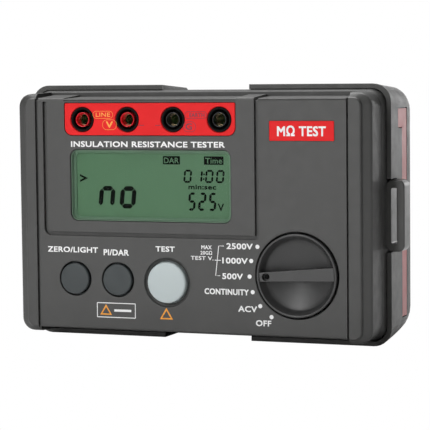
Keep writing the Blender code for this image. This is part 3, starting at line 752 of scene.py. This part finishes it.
def letters(text, left, right, low, high, bold, front=PRINT_FRONT, thick=PRINT_THICK):
    """Lettering as a thin solid that fills the given box, struck five times to make it bold."""
    curve = bpy.data.curves.new("letters", "FONT")
    curve.body = text
    curve.space_character = LETTER_SPACING
    curve.extrude = 0.5
    curve.resolution_u = 3
    made = link("letters", curve)
    bpy.context.view_layer.update()
    depsgraph = bpy.context.evaluated_depsgraph_get()
    mesh = bpy.data.meshes.new_from_object(made.evaluated_get(depsgraph))
    bpy.data.objects.remove(made, do_unlink=True)
    xs = [vert.co.x for vert in mesh.vertices]
    ys = [vert.co.y for vert in mesh.vertices]
    first_x, first_y = min(xs), min(ys)
    wide = (right - left - 2 * bold) / (max(xs) - first_x)
    tall = (high - low - 2 * bold) / (max(ys) - first_y)
    strikes = []
    for index, (across, up) in enumerate(((0, 0), (2, 2), (0, 2), (2, 0), (1, 1))):
        shape = bmesh.new()
        shape.from_mesh(mesh)
        for vert in shape.verts:
            x, y, z = vert.co
            vert.co = (left + across * bold + (x - first_x) * wide,
                       front + 0.001 * index + thick * (0.5 - z),
                       low + up * bold + (y - first_y) * tall)
        strikes.append(shape)
    bpy.data.meshes.remove(mesh)
    return merge(strikes)


def lcd_contents():
    """A reading, a clock and a voltage, with two framed marks at the top right."""
    lit = digits("no", -38.9, 52.3, 6.75, 15.5, 1.85, 8.95)
    lit += digits("01:00", -2.95, 62.6, 3.3, 5.05, 0.78, 4.45)
    lit += digits("525", -1.3, 51.9, 3.1, 7.05, 0.95, 4.25)
    lit.append(lit_plate([(-46.6, 65.5), (-43.1, 63.95), (-46.6, 62.4), (-46.6, 63.2),
                          (-44.9, 63.95), (-46.6, 64.7)]))
    lit.append(letters("min:sec", -0.8, 10.6, 60.1, 61.9, 0.08, LIT_FRONT))
    lit.append(letters("V", 11.2, 13.7, 51.9, 54.8, 0.06, LIT_FRONT))
    marks = []
    for text, left, right, inset in (("DAR", -11.3, -4.2, 0.5), ("Time", 5.7, 13.7, 0.6)):
        lit.append(lit_plate(rounded_rect(left, right, 69.6, 72.8, 0.2, 2)))
        marks.append(letters(text, left + inset, right - inset, 70.1, 72.2, 0.02,
                             LIT_FRONT - 0.04, 0.03))
    place(add("display_digits", merge(lit), LCD_BLACK), "case", "lcd")
    place(add("display_marks", merge(marks), LCD_GREEN), "case", "lcd")
    dress("lcd_glass", LCD_GREEN)


# Buttons

def key_cap(name, radius, edge, crown, finish, slot):
    """A crowned round cap with a flange behind the panel and a stem."""
    box = KEYS[name]
    profile = []
    for step in range(7):
        reach = (radius - edge) * (0.08 + 0.92 * step / 6)
        profile.append((reach, box.front + crown * (reach / radius) ** 2))
    start = profile[-1][1]
    profile += [(radius - edge + edge * sin, start + edge - edge * cos)
                for cos, sin in arc(0, 90, 5)[1:]]
    profile += [(radius, 2.75), (radius + 0.95, 2.8), (radius + 0.95, 3.6), (2.2, 3.6),
                (2.2, box.back)]
    cap = add(name + "_key_cap", turned(profile, *KEY_PLACES[name]), finish)
    place(cap, name + "_key", slot, name + "_button")


def buttons():
    key_cap("zero", KEY_RADIUS, 0.55, 0.25, KEY_GREY, "button_dark")
    key_cap("pi", KEY_RADIUS, 0.55, 0.25, KEY_GREY, "button_dark")
    key_cap("test", TEST_RADIUS, 0.8, 0.45, KEY_WHITE, "button_white")


# Knob

def knob_turned(x, z):
    """A point given along and across the grip bar, turned to where the bar points."""
    turn = math.radians(GRIP_ANGLE)
    return (KNOB.x + x * math.cos(turn) - z * math.sin(turn),
            KNOB.z + x * math.sin(turn) + z * math.cos(turn))


def grip_outline(offset):
    """The grip bar, narrower at its pointing end, grown by an offset."""
    reach = KNOB_RADIUS - 1.05
    corners = ((reach + offset, 1.75 + offset), (-reach - offset, 2.6 + offset),
               (-reach - offset, -2.6 - offset), (reach + offset, -1.75 - offset))
    return [knob_turned(*corner) for corner in corners]


def knob():
    front = KNOB.front
    floor, rim = 5.2, 13.1
    profile = []
    for step in range(11):
        reach = rim * (0.04 + 0.96 * step / 10)
        profile.append((reach, floor - 2.7 * (reach / rim) ** 2))
    profile += [(13.6, 2.0), (14.0, 1.3), (14.4, 0.5), (14.75, -0.2), (14.95, front + 0.25)]
    profile += [(15.4 + 0.45 * cos, front + 0.3 - 0.3 * sin) for cos, sin in arc(180, -180, 6)]
    profile += [(KNOB_RADIUS, 0.4), (KNOB_RADIUS, 6.6), (3.6, 6.6), (3.6, KNOB.back)]
    body = add("range_knob_body", turned(profile, KNOB.x, KNOB.z, 96), KNOB_GREY)
    reach = KNOB_RADIUS - 1.05
    foot = ((reach, 1.95), (-reach, 2.85), (-reach, -2.85), (reach, -1.95))
    grip = rolled_front(grip_outline, GRIP_FRONT, 0.3, 4)
    grip.append((floor, [knob_turned(*point) for point in foot]))
    fuse(body, loft(grip))
    x, z = knob_turned(12.2, 0)
    hole = [(1.7, -2.0)] + [(r, d + GRIP_FRONT) for r, d in lip(1.45, 0.2)] + [(1.45, 1.0)]
    cut(body, turned(hole, x, z, 32))
    place(body, "knob", "case_plastic", "range_knob")
    pin = [(0.15, 0.35), (0.6, 0.45), (0.9, 0.7), (1.0, 1.05)]
    place(add("knob_pointer_pin", turned(pin, x, z, 24), BLACK), "knob", "black_plastic")


# Stowed cover, its inlays and the strap lugs

def cover_rows(inset):
    """(depth, half width, low, high, upper and lower radius) from rim to back, moved in."""
    wide = COVER.right
    rows = [
        (19.6, wide, 0.0, 100.0, 7.2, 7.2), (26.0, wide, 0.0, 99.6, 7.6, 8.4),
        (33.0, wide, 0.0, 99.2, 8.0, 9.8), (40.0, wide, 0.0, 98.8, 8.2, 11.4),
        (45.0, wide, 0.05, 98.5, 8.3, 12.6), (46.0, wide, 0.1, 97.9, 8.4, 12.8),
        (47.0, wide - 0.3, 0.8, 97.2, 8.5, 12.8), (49.5, wide - 1.0, 1.5, 96.7, 8.8, 12.8),
        (52.5, wide - 2.0, 2.2, 96.3, 9.0, 12.6), (56.5, wide - 3.4, 3.1, 95.6, 9.2, 12.2),
        (61.5, wide - 5.1, 4.3, 94.2, 9.2, 11.6), (65.5, wide - 6.6, 5.5, 92.8, 9.0, 10.8),
        (67.8, wide - 7.8, 6.5, 91.7, 8.4, 9.8), (69.2, wide - 9.2, 7.9, 90.3, 7.6, 8.6),
        (69.8, wide - 10.9, 9.6, 88.6, 6.8, 7.4),
    ]
    return [(depth - 0.6 * inset * (depth > 60), half - inset, low + inset, high - inset,
             upper - inset * 0.8, lower - inset * 0.8)
            for depth, half, low, high, upper, lower in rows]


def cover_ring(depth, half, low, high, upper, lower):
    outline = rounded_rect(-half, half, low, high, upper, low_radius=lower)
    return [(x, depth, z) for x, z in outline]


def cover_skin():
    """The cover's skin: from its back round the rolled rim and back along the inside."""
    outer, inner = cover_rows(0.0), cover_rows(COVER_WALL)
    depth, half, low, high, radius, _ = outer[0]
    outside, inside = 0.15, 0.2
    roll = [(outside - outside * cos, outside - outside * sin) for cos, sin in arc(0, 90, 4)]
    roll += [(COVER_WALL - inside + inside * cos, inside - inside * sin)
             for cos, sin in arc(90, -90, 3)]
    rings = [cover_ring(*row) for row in reversed(outer[1:])]
    for inset, back in roll:
        corner = radius - inset * 0.8
        rings.append(cover_ring(depth + back, half - inset, low + inset, high - inset, corner,
                                corner))
    return skin(rings + [cover_ring(*row) for row in inner[1:]])


def finger_cuts():
    """Cutters for the finger cut-outs in the rim, above and below."""
    half, back, radius, front = FINGER_HALF_WIDTH, FINGER_BACK, 0.8, 17.0
    outline = [(front, -half)]
    outline += [(back - radius + radius * sin, -half + radius - radius * cos)
                for cos, sin in arc(0, 90, 4)]
    outline += [(back - radius + radius * cos, half - radius + radius * sin)
                for cos, sin in arc(0, 90, 4)]
    outline.append((front, half))
    return [skin([[(x, depth, z) for depth, x in outline] for z in levels])
            for levels in ((90.0, 101.0), (-1.0, 10.0))]


def stripe_outline(grow):
    """(depth, z) of the side inlay: a long strip with a wider block at its top."""
    box = Box("cover_stripe_right")
    front, back, low, high = box.front - grow, box.back + grow, box.low - grow, box.high + grow
    strip_front, block_low = box.back - 6.6 - grow, box.high - 7.3 - grow
    return [(strip_front, low), (back, low), (back, high), (front, high), (front, block_low),
            (strip_front, block_low)]


def cover():
    shell = add("stowed_cover_shell", cover_skin(), COVER_GREY)
    lug = Box("strap_lug_right")
    notch = rounded_rect(16.0, lug.back + 0.4, lug.low - 0.4, lug.high + 0.4, 0.8, 3)
    tools = finger_cuts()
    for _, side in SIDES:
        tools.append(slab(notch, side * 68.0, side * 78.0))
        tools.append(slab(stripe_outline(0.2), side * (COVER.right - 0.8),
                          side * (COVER.right + 1)))
    cut(shell, *tools)
    place(shell, "cover", "cover_plastic", "storage_cover")
    face = COVER.right - 0.08
    for name, side in SIDES:
        shape = slab(stripe_outline(-0.05), side * (face - 0.6), side * face)
        bmesh.ops.recalc_face_normals(shape, faces=shape.faces)
        rims = [edge for edge in shape.edges
                if all(abs(vert.co.x) > face - 0.01 for vert in edge.verts)]
        bmesh.ops.bevel(shape, geom=rims, offset=0.12, segments=2, affect="EDGES")
        place(add("cover_inlay_" + name, shape, RED_TRIM), "cover", "red_trim",
              "cover_stripe_" + name)


def lugs():
    """A rounded block on each side of the case, with an upright slot for the strap."""
    edge = 0.5
    for name, side in SIDES:
        box = Box("strap_lug_" + name)

        def outline_at(offset):
            outline = rounded_rect(LUG_ROOT, LUG_TIP + offset, box.low - offset,
                                   box.high + offset, 2.4 + offset)
            return [(side * x, z) for x, z in outline]

        sections = rolled_front(outline_at, box.front, edge, 4)
        sections += [(box.back - edge + edge * sin, outline_at(edge * cos - edge))
                     for cos, sin in arc(0, 90, 4)]
        lug = add("strap_lug_moulding_" + name, loft(sections), LUG_GREY)
        slot = rounded_rect(74.9, 77.3, box.z - 10.6, box.z + 10.6, 0.6, 3)
        cut(lug, prism([(side * x, z) for x, z in slot], box.front - 1, box.back + 1))
        place(lug, "case", "case_plastic", "strap_lug_" + name)


# Badge and print

def badge():
    sections = rolled_front(badge_outline, BADGE.front, 0.1)
    sections.append((BADGE.back, badge_outline(0)))
    place(add("badge_plate", loft(sections), RED), "case", "red_trim", "name_badge")
    mark = letters("MΩ TEST", BADGE.x - 9.6, BADGE.x + 9.6, BADGE.low + 1.7, BADGE.high - 1.7,
                   0.12, BADGE.front - 0.03)
    place(add("badge_mark", mark, INK_WHITE), "case", "red_trim")


def printed_ring(outer, inner, front):
    """A thin printed border between two outlines of as many points."""
    back = front + PRINT_THICK
    return skin([[(x, depth, z) for x, z in outline] for outline, depth in
                 ((outer, front), (outer, back), (inner, back), (inner, front))], looped=True)


def printed_frame(left, right, low, high, radius, line, front=PRINT_FRONT):
    outer = rounded_rect(left, right, low, high, radius, 4)
    inner = rounded_rect(left + line, right - line, low + line, high - line,
                         max(radius - line, 0.02), 4)
    return printed_ring(outer, inner, front)


def printed_triangle(x, low, width, height, line):
    def outline(inset):
        half, foot = width / 2 - inset * 1.75, low + inset
        return [(x - half, foot), (x + half, foot), (x, low + height - inset * 2.0)]

    return printed_ring(outline(0), outline(line), PRINT_FRONT)


def printed_line(points, width, front=PRINT_FRONT):
    """A thin printed line through (x, z) points."""
    half, back = width / 2, front + PRINT_THICK
    rings = []
    for x, z, along in with_direction(points):
        (x1, z1), (x2, z2) = ((x - along.y * s, z + along.x * s) for s in (-half, half))
        rings.append([(x1, front, z1), (x2, front, z2), (x2, back, z2), (x1, back, z1)])
    return skin(rings)


def panel_print():
    prints = [letters("INSULATION RESISTANCE TESTER", -48.9, 15.4, 76.25, 78.5, 0.08),
              letters("ZERO/LIGHT", -59.7, -38.0, 34.9, 37.1, 0.07),
              letters("PI/DAR", -35.6, -24.9, 34.1, 36.5, 0.08),
              letters("TEST", -13.6, -5.6, 36.1, 38.2, 0.08)]
    place(add("panel_title_and_labels", merge(prints), INK_WHITE), "case", "case_plastic")


def dial_print():
    """Range names and dots round the knob, and the bracket that groups the test voltages."""
    # Each position's text, its width, its gap to the dot and how far it stands above the dot.
    positions = (("2500V", 10.6, 1.9, 0.0), ("1000V", 10.3, 1.4, -0.1),
                 ("500V", 8.4, 2.7, -0.1), ("CONTINUITY", 18.0, 1.6, -0.2),
                 ("ACV", 7.6, 1.3, -1.3), ("OFF", 6.2, 0.1, -2.5))
    prints = []
    for index, (text, width, gap, lift) in enumerate(positions):
        angle = math.radians(POINTER_ANGLE + CLICK_ANGLE * (index - REST_CLICK))
        x = KNOB.x + DIAL_RADIUS * math.cos(angle)
        z = KNOB.z + DIAL_RADIUS * math.sin(angle)
        prints.append(prism(circle(0.82, 24, x, z), PRINT_FRONT, PRINT_FRONT + PRINT_THICK))
        prints.append(letters(text, x - gap - width, x - gap, z + lift - 1.15, z + lift + 1.15,
                              0.08))
    prints += [printed_line([(14.6, 38.9), (12.5, 38.9), (11.15, 27.5), (13.0, 27.5)], 0.28),
               printed_line([(10.8, 33.4), (13.3, 33.4)], 0.28),
               letters("MAX", 5.4, 9.6, 37.5, 39.0, 0.03),
               letters("20GΩ", 5.0, 9.8, 35.4, 36.9, 0.03),
               letters("TEST V.", 1.0, 10.3, 33.3, 34.8, 0.03)]
    place(add("dial_scale", merge(prints), INK_WHITE), "case", "case_plastic")


def plain_marks():
    """A plain frame with a bar in it, and two plain triangles."""
    white = [printed_frame(-38.8, -22.3, 9.7, 15.6, 0.3, 0.32),
             printed_line([(-31.4, 12.6), (-24.2, 12.6)], 0.9)]
    place(add("plain_frame", merge(white), INK_WHITE), "case", "case_plastic")
    amber = [printed_triangle(-34.9, 10.8, 5.0, 4.1, 0.5),
             printed_triangle(-9.4, 9.9, 5.5, 4.5, 0.55)]
    place(add("plain_triangles", merge(amber), INK_AMBER), "case", "case_plastic")


def terminal_print():
    """Framed terminal names on the red plate, placed from the sockets' centres."""
    front = PLATE.front - 0.03
    first, second, third, fourth = (socket.x for socket in SOCKETS.values())
    yellow = [printed_frame(first + 4.6, first + 13.2, 87.3, 90.2, 1.4, 0.14, front),
              letters("LINE", first + 5.9, first + 12.0, 88.0, 89.6, 0.03, front),
              printed_frame(second - 10.4, second - 4.3, 82.9, 86.9, 1.9, 0.14, front),
              letters("V", second - 8.9, second - 5.9, 83.7, 86.2, 0.1, front)]
    place(add("terminal_names_yellow", merge(yellow), INK_YELLOW), "case", "red_plate")
    dark = [printed_frame(third + 5.0, fourth - 4.9, 87.2, 90.0, 1.3, 0.16, front),
            letters("EARTH", third + 7.0, fourth - 5.9, 87.8, 89.4, 0.03, front),
            printed_frame(third + 4.3, third + 9.6, 82.2, 86.2, 1.9, 0.16, front),
            letters("G", third + 5.3, third + 8.0, 83.0, 85.5, 0.06, front),
            printed_line([(second + 4.7, 84.7), (second + 7.2, 84.7)], 0.2, front),
            printed_line([(third - 7.2, 84.7), (third - 4.7, 84.7)], 0.2, front)]
    place(add("terminal_names_dark", merge(dark), INK_DARK), "case", "red_plate")


# Carried-over CAD nodes

def dress(name, finish):
    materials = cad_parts[name].data.materials
    materials.clear()
    materials.append(finish)


def inner_parts():
    board = plastic("board_solder_mask", (0.012, 0.14, 0.05), 0.35, texture=700, relief=0.00003,
                    spread=0.15)
    ferrite = plastic("sintered_ferrite", (0.05, 0.05, 0.055), 0.6, texture=1200, relief=COARSE,
                      spread=0.15)
    tape = plastic("winding_tape", (0.65, 0.48, 0.08), 0.4, texture=400, relief=COARSE,
                   spread=0.08)
    jacket = plastic("cell_jacket", (0.06, 0.06, 0.22), 0.3, texture=300, relief=FINE,
                     spread=0.08, coat=0.3)
    pale = plastic("pale_moulded_plastic", (0.75, 0.75, 0.72), 0.5, spread=0.03)
    lamp = plastic("tinted_lamp", (0.75, 0.12, 0.08), 0.2, relief=SILKY)
    finishes = {
        "main_board": board, "transformer_core": ferrite, "transformer_coil": tape,
        "backlight_panel": pale, "switch_ring": pale, "test_lamp": lamp,
        "battery_door": CASE_GREY, "battery_door_screw": STEEL, "switch_rotor": BLACK,
        "lcd_frame": BLACK, "battery_tray": BLACK, "buzzer": BLACK,
    }
    finishes.update({"key_switch_" + name: BLACK for name in KEYS})
    finishes.update({f"battery_{index}": jacket for index in range(1, 9)})
    finishes.update({f"case_screw_{index}": STEEL for index in range(1, 5)})
    finishes.update({"battery_contact_" + name: STEEL for name in ("left", "middle", "right")})
    for name, finish in finishes.items():
        dress(name, finish)


# Studio

def camera():
    """A long lens from the right, slightly above."""
    yaw, pitch, roll = (math.radians(angle) for angle in (21.30, 4.40, -0.60))
    data = bpy.data.cameras.new("camera")
    data.sensor_width = 36.0
    data.lens = 161.7
    data.clip_end = 50.0
    made = link("camera", data)
    stand = Matrix.Translation(Vector((277.1, -716.5, 107.0)) * MM)
    turn = Matrix.Rotation(yaw, 4, "Z") @ Matrix.Rotation(math.radians(90) - pitch, 4, "X")
    made.matrix_world = stand @ turn @ Matrix.Rotation(roll, 4, "Z")
    bpy.context.scene.camera = made


def softbox(name, place_mm, size_mm, power, aim=(0.0, 0.0, 50.0)):
    data = bpy.data.lights.new(name, "AREA")
    data.shape = "RECTANGLE"
    data.size, data.size_y = (size * MM for size in size_mm)
    data.energy = power
    made = link(name, data)
    made.location = Vector(place_mm) * MM
    made.rotation_euler = (Vector(aim) * MM - made.location).to_track_quat("-Z", "Y").to_euler()


def surroundings():
    """A world that the camera sees as white, and that lights from the front, back and above."""
    world = bpy.data.worlds.new("studio")
    bpy.context.scene.world = world
    world.use_nodes = True
    tree = world.node_tree
    light = tree.nodes["Background"]
    light.inputs["Color"].default_value = (1.0, 1.0, 1.0, 1.0)
    ways = node(tree, "ShaderNodeSeparateXYZ")
    tree.links.new(node(tree, "ShaderNodeTexCoord").outputs["Generated"], ways.inputs[0])
    sideways = node(tree, "ShaderNodeMath", operation="ABSOLUTE")
    tree.links.new(ways.outputs["X"], sideways.inputs[0])
    dimmer = node(tree, "ShaderNodeMapRange")
    for name, value in (("From Min", 0.05), ("From Max", 0.5), ("To Min", 0.32), ("To Max", 0.0)):
        dimmer.inputs[name].default_value = value
    tree.links.new(sideways.outputs[0], dimmer.inputs["Value"])
    tree.links.new(dimmer.outputs["Result"], light.inputs["Strength"])
    seen = node(tree, "ShaderNodeBackground")
    seen.inputs["Strength"].default_value = 1.0
    seen.inputs["Color"].default_value = (1.0, 1.0, 1.0, 1.0)
    ray = node(tree, "ShaderNodeLightPath")
    blend = node(tree, "ShaderNodeMixShader")
    tree.links.new(ray.outputs["Is Camera Ray"], blend.inputs[0])
    tree.links.new(light.outputs[0], blend.inputs[1])
    tree.links.new(seen.outputs[0], blend.inputs[2])
    tree.links.new(blend.outputs[0], tree.nodes["World Output"].inputs["Surface"])


def studio_floor():
    """A wide pale floor just under the object, which only lights and reflects."""
    shape = bmesh.new()
    bmesh.ops.create_grid(shape, x_segments=1, y_segments=1, size=6.0)
    mesh = bpy.data.meshes.new("studio_floor")
    shape.to_mesh(mesh)
    shape.free()
    made = link("studio_floor", mesh)
    made.location = (0.0, 0.0, -0.0002)
    made.visible_camera = False
    mesh.materials.append(plastic("pale_floor", (0.85, 0.85, 0.85), 0.8, texture=60, relief=0,
                                  spread=0.01, sheen=0.1))


def studio():
    bpy.context.scene.view_settings.view_transform = "Standard"
    surroundings()
    softbox("key_softbox", (-280, -800, 710), (400, 560), 3.7)
    softbox("sheen_softbox", (-235, -820, 200), (260, 640), 2.4)
    softbox("top_softbox", (-170, 200, 900), (860, 700), 13)
    softbox("backdrop_softbox", (-15, 1250, 30), (1160, 640), 8.4, aim=(-15, 0, 30))
    studio_floor()


camera()
studio()
front_shell()
rear_shell()
terminal_plate()
sockets()
display()
lcd_contents()
buttons()
knob()
cover()
lugs()
badge()
panel_print()
dial_print()
plain_marks()
terminal_print()
inner_parts()
